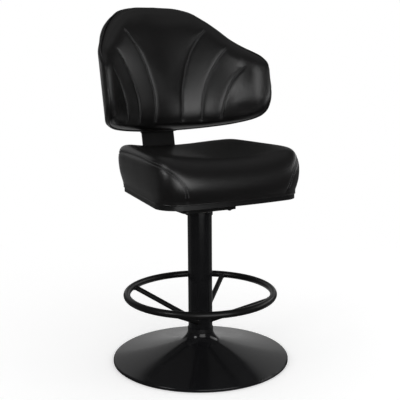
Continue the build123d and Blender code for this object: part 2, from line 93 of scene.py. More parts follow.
def readPoints(mesh):
    flat = np.empty(len(mesh.vertices) * 3)
    mesh.vertices.foreach_get("co", flat)
    return flat.reshape(-1, 3)


def writePoints(mesh, points):
    mesh.vertices.foreach_set("co", np.ascontiguousarray(points, np.float32).ravel())
    mesh.update()


def readNormals(mesh):
    flat = np.empty(len(mesh.vertices) * 3)
    mesh.vertex_normals.foreach_get("vector", flat)
    return flat.reshape(-1, 3)


def writeShade(mesh, name, values):  # a number for each point, read by the materials
    layer = mesh.attributes.get(name) or mesh.attributes.new(name, "FLOAT", "POINT")
    layer.data.foreach_set("value", np.ascontiguousarray(values, np.float32))


def makePiece(name, points, faces):
    mesh = bpy.data.meshes.new(name)
    mesh.from_pydata([tuple(p) for p in points], [], [tuple(f) for f in faces])
    tidy = bmesh.new()
    tidy.from_mesh(mesh)
    bmesh.ops.recalc_face_normals(tidy, faces=tidy.faces)
    tidy.to_mesh(mesh)
    tidy.free()
    mesh.shade_smooth()
    piece = bpy.data.objects.new(name, mesh)
    scene.collection.objects.link(piece)
    return piece


def loopFaces(columns, ring):  # skin over closed rings set out in a row, with a fan at each end
    faces = []
    for i in range(columns - 1):
        for j in range(ring):
            k = (j + 1) % ring
            faces.append((i * ring + j, i * ring + k, (i + 1) * ring + k, (i + 1) * ring + j))
    first, last = columns * ring, columns * ring + 1
    for j in range(ring):
        k = (j + 1) % ring
        faces.append((first, k, j))
        faces.append((last, (columns - 1) * ring + j, (columns - 1) * ring + k))
    return faces


def evaluatedMesh(piece):
    bpy.context.view_layer.update()
    return bpy.data.meshes.new_from_object(piece.evaluated_get(bpy.context.evaluated_depsgraph_get()))


def makeFiner(piece, levels):
    finer = piece.modifiers.new("finer", "SUBSURF")
    finer.levels = finer.render_levels = levels
    mesh = evaluatedMesh(piece)
    piece.modifiers.remove(finer)
    old, piece.data = piece.data, mesh
    bpy.data.meshes.remove(old)
    mesh.shade_smooth()


def evenOut(mesh, values, fixed, rounds):  # averages a number over neighbouring points
    ends = np.empty(len(mesh.edges) * 2, np.int32)
    mesh.edges.foreach_get("vertices", ends)
    first, second = ends.reshape(-1, 2).T
    count = len(mesh.vertices)
    degree = np.bincount(first, minlength=count) + np.bincount(second, minlength=count)
    for step in range(rounds):
        total = np.bincount(first, values[second], count) + np.bincount(second, values[first], count)
        values = np.where(fixed, values, total / degree)
    return values


def evenPoints(mesh, points, fixed, rounds):
    return np.stack([evenOut(mesh, column, fixed, rounds) for column in points.T], axis=1)


coverCloth = {
    "frames": 20, "holdLevels": 10, "fixedFrom": 0.9, "quickShare": 0.8,
    "settings": {
        "quality": 5, "mass": 0.3, "tension_stiffness": 15, "compression_stiffness": 15, "shear_stiffness": 5,
        "use_pressure": True, "vertex_group_mass": "held"},
}


def simulatedMoves(piece, held, pressure, bending):  # cover blown out by cloth simulation, held points fast
    s = coverCloth
    start = readPoints(piece.data)
    group = piece.vertex_groups.new(name="held")
    levels = np.round(held * s["holdLevels"])
    for level in range(1, s["holdLevels"] + 1):  # a seam holds its cover less and less towards its end
        group.add([int(k) for k in np.flatnonzero(levels == level)], level / s["holdLevels"], "REPLACE")
    cloth = piece.modifiers.new("swell", "CLOTH")
    for name, value in s["settings"].items():
        setattr(cloth.settings, name, value)
    cloth.settings.bending_stiffness = bending
    cloth.settings.uniform_pressure_force = pressure
    cloth.settings.effector_weights.gravity = 0
    cloth.collision_settings.use_collision = False
    cloth.point_cache.frame_start, cloth.point_cache.frame_end = 1, s["frames"]
    for number in range(1, s["frames"] + 1):
        scene.frame_set(number)
    blown = evaluatedMesh(piece)
    moves = readPoints(blown) - start
    bpy.data.meshes.remove(blown)
    piece.modifiers.remove(cloth)
    piece.vertex_groups.clear()
    scene.frame_set(1)
    return moves


def swell(piece, held, caps, settings):
    start, normals = readPoints(piece.data), readNormals(piece.data)
    caps = caps * (1 - held)
    outward = coverCloth["quickShare"] * caps
    moves = simulatedMoves(piece, held, settings["pressure"], settings["bending"])
    outward = np.maximum(0, np.einsum("ij,ij->i", moves, normals))
    reached = np.round(np.percentile(outward, (50, 90, 100)) / mm, 1)
    print(piece.name, "blown out by", reached, "mm before the cap")
    outward = caps * np.tanh(outward / np.maximum(caps, 1e-6))  # never further than the cap
    outward = evenOut(piece.data, outward, held > coverCloth["fixedFrom"], settings["evenRounds"])
    writePoints(piece.data, start + normals * outward[:, None])
    print(piece.name, "swelled by up to", round(float(outward.max()) / mm, 1), "mm")


def addNode(tree, kind, inputs=None, **settings):  # inputs by their name or number
    node = tree.nodes.new(kind)
    for name, value in settings.items():
        setattr(node, name, value)
    for socket, value in (inputs or {}).items():
        node.inputs[socket].default_value = value
    return node


def joinNodes(tree, joints):  # each one: from a node, its output, to a node, its input
    for source, output, target, socket in joints:
        tree.links.new(source.outputs[output], target.inputs[socket])


# Shader effects that several finishes share

def newGroup(name, inputs, outputs):
    group = bpy.data.node_groups.new(name, "ShaderNodeTree")
    for label, value in inputs.items():
        socket = group.interface.new_socket(name=label, in_out="INPUT", socket_type="NodeSocketFloat")
        socket.default_value = value
    for label in outputs:
        group.interface.new_socket(name=label, in_out="OUTPUT", socket_type="NodeSocketFloat")
    return group, group.nodes.new("NodeGroupInput"), group.nodes.new("NodeGroupOutput")


def buildVinylGrain():  # pebbled grain, slow cloudiness and fine creases of a coated cloth
    group, given, result = newGroup(
        "vinylGrain", {"Grain Scale": 900, "Cloud Scale": 9}, ["Height", "Tone", "Gloss"])
    place = addNode(group, "ShaderNodeTexCoord")
    wobble = addNode(group, "ShaderNodeTexNoise", {"Scale": 260, "Detail": 2})
    shift = addNode(group, "ShaderNodeMixRGB", {"Fac": 0.0012}, blend_type="LINEAR_LIGHT")
    pebble = addNode(group, "ShaderNodeTexVoronoi", feature="DISTANCE_TO_EDGE")
    pebbleTop = addNode(group, "ShaderNodeMapRange", {"From Max": 0.22}, interpolation_type="SMOOTHSTEP")
    fine = addNode(group, "ShaderNodeTexNoise", {"Scale": 2400, "Detail": 2})
    both = addNode(group, "ShaderNodeMath", {1: 0.25}, operation="MULTIPLY_ADD")
    cloud = addNode(group, "ShaderNodeTexNoise", {"Detail": 4, "Roughness": 0.6})
    crease = addNode(group, "ShaderNodeTexNoise", {"Scale": 70, "Detail": 3})
    mixed = addNode(group, "ShaderNodeMath", {1: 0.35}, operation="MULTIPLY_ADD")
    joinNodes(group, [
        (place, "Object", wobble, "Vector"), (place, "Object", shift, "Color1"),
        (wobble, "Color", shift, "Color2"), (shift, "Color", pebble, "Vector"),
        (given, "Grain Scale", pebble, "Scale"), (pebble, "Distance", pebbleTop, "Value"),
        (place, "Object", fine, "Vector"), (fine, "Fac", both, 0), (pebbleTop, "Result", both, 2),
        (place, "Object", cloud, "Vector"), (given, "Cloud Scale", cloud, "Scale"),
        (place, "Object", crease, "Vector"), (crease, "Fac", mixed, 0), (cloud, "Fac", mixed, 2),
        (both, "Value", result, "Height"), (cloud, "Fac", result, "Tone"), (mixed, "Value", result, "Gloss"),
    ])
    return group


def buildCoatSkin():  # faint ripple, dust specks and cloudiness of paint and moulded plastic
    group, given, result = newGroup(
        "coatSkin", {"Ripple Scale": 300, "Speck Scale": 420, "Cloud Scale": 14}, ["Height", "Tone", "Gloss"])
    place = addNode(group, "ShaderNodeTexCoord")
    ripple = addNode(group, "ShaderNodeTexNoise", {"Detail": 2})
    speck = addNode(group, "ShaderNodeTexVoronoi", feature="F1")
    speckTop = addNode(
        group, "ShaderNodeMapRange", {"From Min": 0.1, "From Max": 0.0}, interpolation_type="SMOOTHSTEP")
    cloud = addNode(group, "ShaderNodeTexNoise", {"Detail": 5, "Roughness": 0.62})
    dusty = addNode(group, "ShaderNodeMath", {1: 0.3}, operation="MULTIPLY_ADD")
    joinNodes(group, [
        (place, "Object", ripple, "Vector"), (given, "Ripple Scale", ripple, "Scale"),
        (place, "Object", speck, "Vector"), (given, "Speck Scale", speck, "Scale"),
        (speck, "Distance", speckTop, "Value"), (place, "Object", cloud, "Vector"),
        (given, "Cloud Scale", cloud, "Scale"), (speckTop, "Result", dusty, 0), (cloud, "Fac", dusty, 2),
        (ripple, "Fac", result, "Height"), (dusty, "Value", result, "Tone"), (cloud, "Fac", result, "Gloss"),
    ])
    return group


vinylGrain = buildVinylGrain()
coatSkin = buildCoatSkin()


def newFinish(name):
    material = bpy.data.materials.new(name)
    material.use_nodes = True
    return material, material.node_tree, material.node_tree.nodes["Principled BSDF"]


def spread(tree, source, low, high):  # turns a 0 to 1 pattern into a range of values
    node = addNode(tree, "ShaderNodeMapRange", {"To Min": low, "To Max": high})
    tree.links.new(source, node.inputs["Value"])
    return node.outputs["Result"]


def tint(tree, source, dark, light):
    node = addNode(tree, "ShaderNodeMix", {6: (*dark, 1), 7: (*light, 1)}, data_type="RGBA")
    tree.links.new(source, node.inputs[0])
    return node.outputs[2]


def bumped(tree, shader, height, strength, distance):
    bump = addNode(tree, "ShaderNodeBump", {"Strength": strength, "Distance": distance})
    tree.links.new(height, bump.inputs["Height"])
    tree.links.new(bump.outputs["Normal"], shader.inputs["Normal"])


def dress(tree, shader, patterns, dark, light, roughness, bump):  # patterns of tone, gloss and height
    tone, gloss, height = patterns
    tree.links.new(tint(tree, tone, dark, light), shader.inputs["Base Color"])
    tree.links.new(spread(tree, gloss, *roughness), shader.inputs["Roughness"])
    bumped(tree, shader, height, *bump)


# foldTone sets the painted shade along the seam folds: there the vinyl's colour is this share of its dark tone
vinylLook = {
    "grainScale": 900, "dark": (0.0043, 0.004, 0.0041), "light": (0.0075, 0.007, 0.0072),
    "roughness": (0.26, 0.36), "mirror": 0.9, "bump": (0.3, 0.00012), "foldTone": 0.45, "foldDull": 0.14,
}


def makeVinyl(name):
    s = vinylLook
    material, tree, shader = newFinish(name)
    grain = addNode(tree, "ShaderNodeGroup", {"Grain Scale": s["grainScale"]}, node_tree=vinylGrain)
    tone = tint(tree, grain.outputs["Tone"], s["dark"], s["light"])
    polish = spread(tree, grain.outputs["Gloss"], *s["roughness"])
    seam = addNode(tree, "ShaderNodeAttribute", attribute_name="seamNear")
    foldTone = (*[s["foldTone"] * c for c in s["dark"]], 1)
    shadedFold = addNode(tree, "ShaderNodeMix", {7: foldTone}, data_type="RGBA")  # painted shade: the vinyl's colour is darker along a seam fold, and the fold is also duller
    dull = addNode(tree, "ShaderNodeMath", {1: s["foldDull"]}, operation="MULTIPLY_ADD")
    tree.links.new(tone, shadedFold.inputs[6])
    tree.links.new(polish, dull.inputs[2])
    joinNodes(tree, [
        (seam, "Fac", shadedFold, 0), (shadedFold, 2, shader, "Base Color"),
        (seam, "Fac", dull, 0), (dull, "Value", shader, "Roughness"),
    ])
    shader.inputs["Specular IOR Level"].default_value = s["mirror"]
    bumped(tree, shader, grain.outputs["Height"], *s["bump"])
    return material


def makeCoat(name, dark, light, roughness, ripple, bump, metallic):
    material, tree, shader = newFinish(name)
    skin = addNode(tree, "ShaderNodeGroup", {"Ripple Scale": ripple}, node_tree=coatSkin)
    dress(tree, shader, [skin.outputs[key] for key in ("Tone", "Gloss", "Height")], dark, light, roughness, bump)
    shader.inputs["Metallic"].default_value = metallic
    return material


def makePlywood():
    material, tree, shader = newFinish("plywood")
    place = addNode(tree, "ShaderNodeTexCoord")
    stretch = addNode(tree, "ShaderNodeMapping", {"Scale": (30, 4, 700)})
    plies = addNode(tree, "ShaderNodeTexNoise", {"Scale": 1.0, "Detail": 5, "Distortion": 0.6})
    joinNodes(tree, [(place, "Object", stretch, "Vector"), (stretch, "Vector", plies, "Vector")])
    dress(tree, shader, [plies.outputs["Fac"]] * 3,
          (0.24, 0.14, 0.07), (0.62, 0.44, 0.26), (0.5, 0.7), (0.3, 0.0004))
    return material


def makeThread():
    # part the thread's own grey, part painted highlight: the grey is made lighter to stand in for the glint on
    # the stitches
    material, tree, shader = newFinish("seamThread")
    place = addNode(tree, "ShaderNodeTexCoord")
    twist = addNode(tree, "ShaderNodeTexWave", {"Scale": 900, "Distortion": 1.2})
    tree.links.new(place.outputs["Object"], twist.inputs["Vector"])
    dress(tree, shader, [twist.outputs["Fac"]] * 3,
          (0.07, 0.07, 0.072), (0.16, 0.16, 0.165), (0.4, 0.6), (0.4, 0.0002))
    return material


coats = {  # dark and light tone, roughness range, ripple scale, bump strength and depth, metallic
    "glossBlack": ((0.004, 0.004, 0.0045), (0.010, 0.010, 0.011), (0.10, 0.2), 260, (0.05, 0.0004), 0),
    "satinBlack": ((0.003, 0.0029, 0.003), (0.008, 0.0078, 0.008), (0.26, 0.38), 700, (0.1, 0.0001), 0),
    "collarBlack": ((0.006, 0.006, 0.0065), (0.014, 0.014, 0.015), (0.3, 0.42), 900, (0.1, 0.0003), 0),
    "floorRubber": ((0.012, 0.012, 0.012), (0.03, 0.03, 0.03), (0.7, 0.9), 600, (0.4, 0.0005), 0),
    "castIron": ((0.03, 0.028, 0.026), (0.09, 0.085, 0.08), (0.55, 0.75), 350, (0.5, 0.0008), 0.8),
    "darkSteel": ((0.05, 0.05, 0.052), (0.12, 0.12, 0.125), (0.28, 0.42), 500, (0.1, 0.0003), 1),
    "bearingPlastic": ((0.5, 0.48, 0.42), (0.62, 0.6, 0.54), (0.35, 0.5), 500, (0.1, 0.0003), 0),
    "panPlastic": ((0.004, 0.004, 0.0042), (0.010, 0.010, 0.0105), (0.26, 0.38), 1100, (0.2, 0.0001), 0),
}
finishes = {name: makeVinyl(name) for name in ("seatVinyl", "backVinyl")}
finishes.update({name: makeCoat(name, *values) for name, values in coats.items()})
finishes.update({"thread": makeThread(), "plywood": makePlywood()})
print("finishes made,", len(finishes))

nodeFinish = {
    "glossBlack": ["base_cover", "column_tube", "bearing_housing"],
    "satinBlack": ["packing_block", "foot_ring", "spoke_rear_left", "spoke_rear_right", "spoke_front_right",
                   "spoke_front_left", "swivel_plate", "back_strap", "turn_pins"],
    "collarBlack": ["neck_collar"],
    "floorRubber": ["floor_pad"],
    "castIron": ["base_weight"],
    "darkSteel": ["base_bolt", "base_washer", "column_plug", "swivel_spindle", "retaining_washer",
                  "spindle_nut", "plate_bolts", "plate_washers", "seat_tee_nuts", "pan_screws", "strap_bolts",
                  "strap_washers", "backrest_tee_nuts", "backrest_bolts"],
    "bearingPlastic": ["upper_bush", "lower_bush", "thrust_washer"],
    "panPlastic": ["seat_pan"],
    "plywood": ["seat_board", "backrest_board", "backrest_packer"],
}
for finish, names in nodeFinish.items():
    for name in names:
        for slot in cadNodes[name].material_slots:
            slot.material = finishes[finish]


# Geometry trees: stitches along a line, and a round bead along a line

def newTree(name, inputs):
    tree = bpy.data.node_groups.new(name, "GeometryNodeTree")
    tree.interface.new_socket(name="Geometry", in_out="INPUT", socket_type="NodeSocketGeometry")
    for label, value in inputs.items():
        socket = tree.interface.new_socket(name=label, in_out="INPUT", socket_type="NodeSocketFloat")
        socket.default_value = value
    tree.interface.new_socket(name="Finish", in_out="INPUT", socket_type="NodeSocketMaterial")
    tree.interface.new_socket(name="Geometry", in_out="OUTPUT", socket_type="NodeSocketGeometry")
    return tree, tree.nodes.new("NodeGroupInput"), tree.nodes.new("NodeGroupOutput")


def endTree(tree, given, result, maker, output):
    real = addNode(tree, "GeometryNodeRealizeInstances")
    smooth = addNode(tree, "GeometryNodeSetShadeSmooth")
    finish = addNode(tree, "GeometryNodeSetMaterial")
    joinNodes(tree, [
        (maker, output, real, "Geometry"), (real, "Geometry", smooth, "Geometry"),
        (smooth, "Geometry", finish, "Geometry"), (given, "Finish", finish, "Material"),
        (finish, "Geometry", result, "Geometry"),
    ])


def buildStitchTree():
    tree, given, result = newTree(
        "stitchRow", {"Pitch": 0.006, "Length": 0.0042, "Thickness": 0.0011, "Seed": 4})
    line = addNode(tree, "GeometryNodeMeshToCurve")
    spots = addNode(tree, "GeometryNodeCurveToPoints", mode="LENGTH")
    turn = addNode(tree, "FunctionNodeAlignRotationToVector", axis="X")
    thread = addNode(tree, "GeometryNodeMeshUVSphere", {"Segments": 8, "Rings": 5, "Radius": 0.5})
    size = addNode(tree, "ShaderNodeCombineXYZ")
    uneven = addNode(tree, "FunctionNodeRandomValue", {2: 0.9, 3: 1.08}, data_type="FLOAT")
    stretch = addNode(tree, "ShaderNodeMath", operation="MULTIPLY")
    place = addNode(tree, "GeometryNodeInstanceOnPoints")
    joinNodes(tree, [
        (given, "Geometry", line, "Mesh"), (line, "Curve", spots, "Curve"), (given, "Pitch", spots, "Length"),
        (spots, "Tangent", turn, "Vector"), (given, "Seed", uneven, "Seed"), (given, "Length", stretch, 0),
        (uneven, 1, stretch, 1), (stretch, "Value", size, "X"), (given, "Thickness", size, "Y"),
        (given, "Thickness", size, "Z"), (spots, "Points", place, "Points"),
        (thread, "Mesh", place, "Instance"), (turn, "Rotation", place, "Rotation"),
        (size, "Vector", place, "Scale"),
    ])
    endTree(tree, given, result, place, "Instances")
    return tree


def buildBeadTree():
    tree, given, result = newTree(
        "beadAlong", {"Radius": 0.0025, "Step": 0.004, "Ripple": 0.0, "Ripple Scale": 400})
    line = addNode(tree, "GeometryNodeMeshToCurve")
    even = addNode(tree, "GeometryNodeResampleCurve", mode="LENGTH")
    rim = addNode(tree, "GeometryNodeCurvePrimitiveCircle", {"Resolution": 10})
    tube = addNode(tree, "GeometryNodeCurveToMesh", {"Fill Caps": True})
    noise = addNode(tree, "ShaderNodeTexNoise", {"Detail": 1})
    level = addNode(tree, "ShaderNodeMath", {1: 0.5}, operation="SUBTRACT")
    amount = addNode(tree, "ShaderNodeMath", operation="MULTIPLY")
    normal = addNode(tree, "GeometryNodeInputNormal")
    push = addNode(tree, "ShaderNodeVectorMath", operation="SCALE")
    moved = addNode(tree, "GeometryNodeSetPosition")
    joinNodes(tree, [
        (given, "Geometry", line, "Mesh"), (line, "Curve", even, "Curve"), (given, "Step", even, "Length"),
        (given, "Radius", rim, "Radius"), (even, "Curve", tube, "Curve"), (rim, "Curve", tube, "Profile Curve"),
        (given, "Ripple Scale", noise, "Scale"), (noise, "Fac", level, 0), (level, "Value", amount, 0),
        (given, "Ripple", amount, 1), (normal, "Normal", push, 0), (amount, "Value", push, "Scale"),
        (tube, "Mesh", moved, "Geometry"), (push, "Vector", moved, "Offset"),
    ])
    endTree(tree, given, result, moved, "Geometry")
    return tree


stitchTree = buildStitchTree()
beadTree = buildBeadTree()


def growAlong(name, lines, closed, tree, finish, sizes):  # one plain mesh grown by a tree along some lines
    points, edges = [], []
    for line in lines:
        first = len(points)
        points += [tuple(p) for p in line]
        edges += [(k, k + 1) for k in range(first, len(points) - 1)]
        if closed:
            edges.append((len(points) - 1, first))
    guide = bpy.data.meshes.new(name + "Guide")
    guide.from_pydata(points, edges, [])
    piece = bpy.data.objects.new(name, guide)
    scene.collection.objects.link(piece)
    grow = piece.modifiers.new("grow", "NODES")
    grow.node_group = tree
    for item in tree.interface.items_tree:
        key = item.name[0].lower() + item.name[1:].replace(" ", "")  # as the dictionaries write it
        if item.in_out == "INPUT" and key in sizes:
            grow[item.identifier] = sizes[key]
        if item.in_out == "INPUT" and key == "finish":
            grow[item.identifier] = finish
    grown = evaluatedMesh(piece)
    piece.modifiers.remove(grow)
    piece.data = grown
    bpy.data.meshes.remove(guide)
    return piece


def nearest(piece, points):  # the closest places on a cover, each with its facing
    return [piece.closest_point_on_mesh(Vector(point))[1:3] for point in points]


def onSurface(piece, points, lift):  # lift may be one number or one for each point
    lifts = np.broadcast_to(lift, len(points))
    return np.array([
        np.array(spot + normal * float(rise)) for (spot, normal), rise in zip(nearest(piece, points), lifts)])


seamEnds = {"dip": 0.002, "points": 3}


def seamRows(piece, line, gap, lift):  # two rows, one on each side of a seam
    normals = np.array([np.array(normal) for spot, normal in nearest(piece, line)])
    across = np.cross(normals, np.gradient(line, axis=0))
    across /= np.maximum(np.linalg.norm(across, axis=1), 1e-9)[:, None]
    ends = np.minimum(np.arange(len(line)), np.arange(len(line))[::-1])
    lift = lift - seamEnds["dip"] * smoothStep(seamEnds["points"], 0, ends)  # both ends dip into the cover
    return [onSurface(piece, line + across * side * gap, lift) for side in (-1, 1)]


# Backrest: every layer is laid out flat (run along the bend, height up the back) and bent round one axis

backFrame = {"origin": (0.0, 0.17794, 0.71996), "reclineDegrees": 12.4, "radius": 0.258, "depth": 0.070}
backOutline = np.array([  # run, lowest, highest, in mm on the flat pattern
    (0, -57, 325), (45, -57, 322), (90, -57, 308), (131, -57, 276), (164, -57, 240), (195, -56, 203),
    (230, -54, 171), (261, -49, 148), (285, -38, 130), (300, -20, 115), (309, 0, 103), (314, 28, 86),
]) * mm
backSeams = [  # sewn channels on the right half, run and height in mm
    [(41, -50), (42, -34), (46, 44), (58, 102), (80, 160), (108, 205), (144, 245)],
    [(95, -50), (98, -30), (106, 25), (123, 75), (155, 128), (199, 178)],
    [(149, -46), (155, -28), (172, 20), (200, 70), (247, 108)],
]
recline = math.radians(backFrame["reclineDegrees"])
backUp = np.array([0, math.sin(recline), math.cos(recline)])
backOut = np.array([0, math.cos(recline), -math.sin(recline)])
backRadius = backFrame["radius"]
backAxis = np.array(backFrame["origin"]) - backRadius * backOut


def outwards(run):
    swing = np.asarray(run) / backRadius
    return np.sin(swing)[..., None] * np.array([1.0, 0, 0]) + np.cos(swing)[..., None] * backOut


def backPoint(run, height, reach):
    run, height, reach = np.broadcast_arrays(run, height, reach)
    return backAxis + outwards(run) * reach[..., None] + height[..., None] * backUp


def backPlace(points):  # run, height and reach of points in the room
    arm = points - backAxis
    across, out = arm[:, 0], arm @ backOut
    return np.arctan2(across, out) * backRadius, arm @ backUp, np.hypot(across, out)


def layerDepth(run):  # the pad measured towards the axis: it thins out along the wings
    swing = run / backRadius
    depth = backFrame["depth"]
    return depth * np.cos(swing) + np.sqrt(backRadius**2 - (depth * np.sin(swing)) ** 2) - backRadius


def backEdges(run):
    run = np.abs(run)
    low = smoothThrough(backOutline[:, 0], backOutline[:, 1], run)
    high = smoothThrough(backOutline[:, 0], backOutline[:, 2], run)
    return low, high


def mirroredRuns(half):
    return np.concatenate([-half[:0:-1], half])


def tipRuns(s):  # even steps, then closer ones round the tip of each wing
    turn = np.sin(np.linspace(0, math.pi / 2, s["tipColumns"]))
    straight = np.arange(0, s["tipStart"] - s["runStep"] / 2, s["runStep"])
    return mirroredRuns(np.concatenate([straight, s["tipStart"] + (s["tipEnd"] - s["tipStart"]) * turn]))


def tipThin(runs, s):  # 1 along the back, and less round the tip of each wing
    tip = np.clip((np.abs(runs) - s["tipStart"]) / (s["tipEnd"] - s["tipStart"]), 0, 1)
    return np.maximum(np.sqrt(1 - tip**2), s["tipLeast"])


def ringPiece(name, points, ring):
    ends = [points[:ring].mean(axis=0), points[-ring:].mean(axis=0)]
    return makePiece(name, np.vstack([points, ends]), loopFaces(len(points) // ring, ring))


frontPad = {
    "facePower": 6.0, "apexShare": 0.84, "crown": 0.008, "rearDraw": 0.004,
    "wingSwell": 0.003, "wingStart": 0.225, "wingFull": 0.300,
    "tipStart": 0.264, "tipEnd": 0.314, "tipLeast": 0.14, "tipColumns": 17,
    "sectionPoints": 1201, "facePoints": 109, "backPoints": 20, "turnPoints": 6, "runStep": 0.0042,
    "seamPoints": 40, "seamFade": (0.08, 0.88), "faceStart": (0.030, 0.018), "faceSwollen": (0.036, 0.024),
    "seamSink": 0.0018, "seamWidth": 0.0068, "seamHeld": 0.0040, "fold": 0.0014, "foldWidth": 0.0022,
    "shrink": 0.003, "cap": 0.0065, "capFade": 0.25, "pressure": 5.0, "bending": 1.0, "evenRounds": 12,
}


def padFront(run):
    s = frontPad
    return backRadius - s["wingSwell"] * smoothStep(s["wingStart"], s["wingFull"], np.abs(run))


def evenProfile(heights, reaches, count):  # the same line with its points evenly set
    along = np.concatenate([[0], np.cumsum(np.hypot(np.diff(heights), np.diff(reaches)))])
    at = np.linspace(0, along[-1], count)
    return np.interp(at, along, heights), np.interp(at, along, reaches)


def frontSection(low, high, front, back):  # rolled face, then the turn to the board and the flat rear
    s = frontPad
    centre, reach, depth = (low + high) / 2, (high - low) / 2, back - front
    apex = front + s["apexShare"] * depth
    crown = s["crown"] * depth / backFrame["depth"]
    way = np.linspace(-1, 1, s["sectionPoints"])
    angle = math.pi / 2 * way**3
    across = np.sign(way) * np.abs(np.sin(angle)) ** (2 / s["facePower"])
    rolled = front + crown * across**2 + (apex - front - crown) * (1 - np.cos(angle))
    face = evenProfile(centre + reach * across, rolled, s["facePoints"])
    draw = min(s["rearDraw"], depth / 4)
    turn = np.arange(1, s["turnPoints"] + 1) / s["turnPoints"] * math.pi / 2
    turnIn, turnReach = draw * (1 - np.cos(turn)), apex + (back - apex) * np.sin(turn)
    flat = np.linspace(high - draw, low + draw, s["backPoints"] + 2)[1:-1]
    heights = np.concatenate([face[0], high - turnIn, flat, (low + turnIn)[::-1]])
    reaches = np.concatenate([face[1], turnReach, np.full(len(flat), back), turnReach[::-1]])
    return heights, reaches


def buildFrontPad():
    s = frontPad
    runs = tipRuns(s)
    low, high = backEdges(runs)
    front, back = padFront(runs), backRadius + layerDepth(runs)
    front = back - (back - front) * tipThin(runs, s)  # the wing's end rolls back onto the welt
    low, high = low + s["shrink"], high - s["shrink"]
    sections = [frontSection(*each) for each in zip(low, high, front, back)]
    heights, reaches = (np.array([section[k] for section in sections]) for k in (0, 1))
    columns, ring = heights.shape
    points = backPoint(runs[:, None], heights, reaches).reshape(-1, 3)
    piece = ringPiece("backrestFront", points, ring)
    rear = np.zeros((columns, ring))
    rear[:, s["facePoints"] + 2:ring - 2] = 1
    return piece, np.concatenate([rear.ravel(), [0, 0]])


def seamLines():
    lines = []
    for seam in backSeams:
        line = throughPoints(np.array(seam) * mm, frontPad["seamPoints"])
        lines += [line, line * np.array([-1, 1])]
    return lines


def seamHold(run, height, width):  # 1 on a seam, fading beside it and towards its two ends
    places = np.stack([run, height], axis=1)
    strongest = np.zeros(len(places))
    foot, head = frontPad["seamFade"]
    for line in seamLines():
        away, along = lineDistance(places, line)
        ends = smoothStep(1.0, head, along) * smoothStep(0.0, foot, along)
        strongest = np.maximum(strongest, np.exp(-((away / width) ** 2)) * ends)
    return strongest


def finishFrontPad():
    s = frontPad
    piece, rear = buildFrontPad()
    points = readPoints(piece.data)
    run, height, reach = backPlace(points)
    facing = smoothStep(*s["faceStart"], reach - padFront(run))
    sink = s["seamSink"] * seamHold(run, height, s["seamWidth"]) + s["shrink"]
    writePoints(piece.data, points + outwards(run) * (sink * facing * (1 - rear))[:, None])
    held = np.maximum(rear, facing * seamHold(run, height, s["seamHeld"]))
    swell(piece, held, s["cap"] * smoothStep(s["tipEnd"], s["capFade"], np.abs(run)), s)
    makeFiner(piece, 1)
    points = readPoints(piece.data)
    run, height, reach = backPlace(points)
    facing = smoothStep(*s["faceSwollen"], reach - padFront(run))
    fold = facing * seamHold(run, height, s["foldWidth"])
    writePoints(piece.data, points + outwards(run) * (s["fold"] * fold)[:, None])
    # seamNear carries the fold mask that the vinyl turns into painted shade, and into duller gloss
    writeShade(piece.data, "seamNear", fold)
    piece.data.materials.append(finishes["backVinyl"])
    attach(piece, "seat")
    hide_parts("backrest_cushion")
    print("backrest front pad:", len(piece.data.polygons), "faces")
    return piece


backrestFront = finishFrontPad()


rearPad = {
    "boardThickness": 0.0078, "depth": 0.052, "edgeDepth": 0.0008, "fade": 0.210, "runStep": 0.005,
    "tipStart": 0.290, "tipEnd": 0.311, "tipLeast": 0.2, "tipColumns": 10,
    "fadePower": 1.5, "edgeInset": 0.003, "round": 0.028, "roundMost": 0.9, "roundOfHeight": 0.8,
    "boardInset": 0.0145, "boardEnd": 0.2915, "boardEdge": 0.002, "gap": 0.0004,
    "pocketHalf": 0.0575, "pocketTop": 0.098, "pocketFar": 0.1178, "pocketEdge": 0.003,
    "pocketHeld": 0.01, "facePoints": 57, "turnPoints": 9, "outerPoints": 45,
    "cap": 0.006, "pressure": 4.0, "bending": 1.0, "evenRounds": 12,
}


